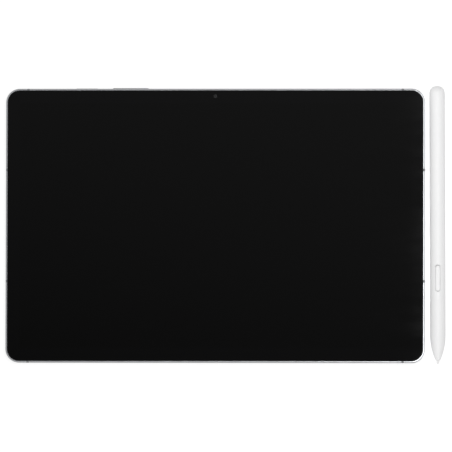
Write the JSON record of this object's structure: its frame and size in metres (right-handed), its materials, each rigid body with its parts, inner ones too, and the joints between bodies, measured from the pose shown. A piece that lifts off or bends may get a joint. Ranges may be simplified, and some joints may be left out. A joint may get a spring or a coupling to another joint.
{
  "type": "tablet computer",
  "caption": "Thin 11-inch tablet computer lying screen up: metal tub, black glass front, two edge keys, rear cameras, and a round white pen beside its right edge.",
  "frame": {"origin": "centre of the flat back face of the tablet", "axes": "+X along the long side, away from the keys' end and towards the pen; +Y towards the long edge with the keys; +Z out of the screen"},
  "size_m": [0.2664, 0.168, 0.0094],
  "materials": {
    "housing_aluminium": "fine bead-blasted, anodised silver",
    "antenna_plastic": "matte grey, flush with the metal",
    "cover_glass": "polished, black from the ink and the display under it",
    "display": "black when switched off",
    "black_adhesive": "matte",
    "clear_adhesive": "clear",
    "graphite": "satin sheet",
    "camera_glass": "polished, dark",
    "flash_plastic": "ribbed, translucent",
    "key_aluminium": "anodised silver, fine brushed",
    "ring_aluminium": "turned and anodised silver",
    "steel": "bright sheet",
    "black_plastic": "matte moulded",
    "contact_gold": "gold plated",
    "board": "solder mask",
    "flex": "polyimide film",
    "cell_foil": "black wrap on foil",
    "pen_white": "matte white moulded",
    "pen_nib": "soft matte"
  },
  "bodies": {
    "tablet": {"housing": "housing_aluminium", "antenna_break_top_left": "antenna_plastic", "antenna_break_top_right": "antenna_plastic", "antenna_break_bottom_left": "antenna_plastic", "antenna_break_bottom_right": "antenna_plastic", "antenna_break_left_upper": "antenna_plastic", "antenna_break_left_lower": "antenna_plastic", "antenna_break_right_upper": "antenna_plastic", "antenna_break_right_lower": "antenna_plastic", "cover_glass": "cover_glass", "glass_gasket": "black_adhesive", "optical_adhesive": "clear_adhesive", "display_panel": "display", "graphite_sheet": "graphite", "front_camera": "black_plastic", "main_camera_ring": "ring_aluminium", "main_camera_glass": "camera_glass", "main_camera_module": "black_plastic", "wide_camera_ring": "ring_aluminium", "wide_camera_glass": "camera_glass", "wide_camera_module": "black_plastic", "flash_lens": "flash_plastic", "pen_dock_strip": "camera_glass", "key_flex": "flex", "card_cage": "steel", "usb_shell": "steel", "usb_tongue": "black_plastic", "speaker_left_lower": "black_plastic", "speaker_grille_left_lower": "black_plastic", "speaker_left_upper": "black_plastic", "speaker_grille_left_upper": "black_plastic", "speaker_right_lower": "black_plastic", "speaker_grille_right_lower": "black_plastic", "speaker_right_upper": "black_plastic", "speaker_grille_right_upper": "black_plastic", "keyboard_contact_block": "antenna_plastic", "keyboard_contact_1": "contact_gold", "keyboard_contact_2": "contact_gold", "keyboard_contact_3": "contact_gold", "main_board": "board", "processor_shield": "steel", "radio_shield": "steel", "board_screw_1": "steel", "board_screw_2": "steel", "board_screw_3": "steel", "usb_board": "board", "board_flex": "flex", "display_flex": "flex", "battery_left": "cell_foil", "battery_right": "cell_foil"},
    "power_key": {"power_key": "key_aluminium"},
    "volume_rocker": {"volume_rocker": "key_aluminium"},
    "card_tray": {"card_tray": "key_aluminium"},
    "focus_lens": {"main_camera_focus_lens": "camera_glass"},
    "pen": {"pen_barrel": "pen_white", "pen_end_cap": "pen_white", "pen_tip": "pen_white", "pen_core": "board"},
    "pen_nib": {"pen_nib": "pen_nib"},
    "pen_button": {"pen_button": "pen_white"}
  },
  "joints": [
    {"name": "power_key_press", "type": "slide", "parent": "tablet", "child": "power_key", "axis": [0, -1, 0], "range_m": [0, 0.00025], "stiffness_N_per_m": 400},
    {"name": "volume_rocker_tilt", "type": "hinge", "parent": "tablet", "child": "volume_rocker", "pos_m": [-0.0514, 0.0815, 0.003], "axis": [0, 0, 1], "range_deg": [-1, 1], "stiffness_Nm_per_rad": 0.03},
    {"name": "card_tray_slide", "type": "slide", "parent": "tablet", "child": "card_tray", "axis": [0, 1, 0], "range_m": [0, 0.02]},
    {"name": "focus_lens_travel", "type": "slide", "parent": "tablet", "child": "focus_lens", "axis": [0, 0, -1], "range_m": [0, 0.0003], "stiffness_N_per_m": 200},
    {"name": "pen_away", "type": "slide", "parent": "tablet", "child": "pen", "axis": [1, 0, 0], "range_m": [-0.0024, 0.06]},
    {"name": "pen_nib_press", "type": "slide", "parent": "pen", "child": "pen_nib", "axis": [-0.0042, 1, 0], "range_m": [0, 0.0003], "stiffness_N_per_m": 400},
    {"name": "pen_button_press", "type": "slide", "parent": "pen", "child": "pen_button", "axis": [-0.0436, -0.0002, -0.999], "range_m": [0, 0.0002], "stiffness_N_per_m": 400}
  ]
}
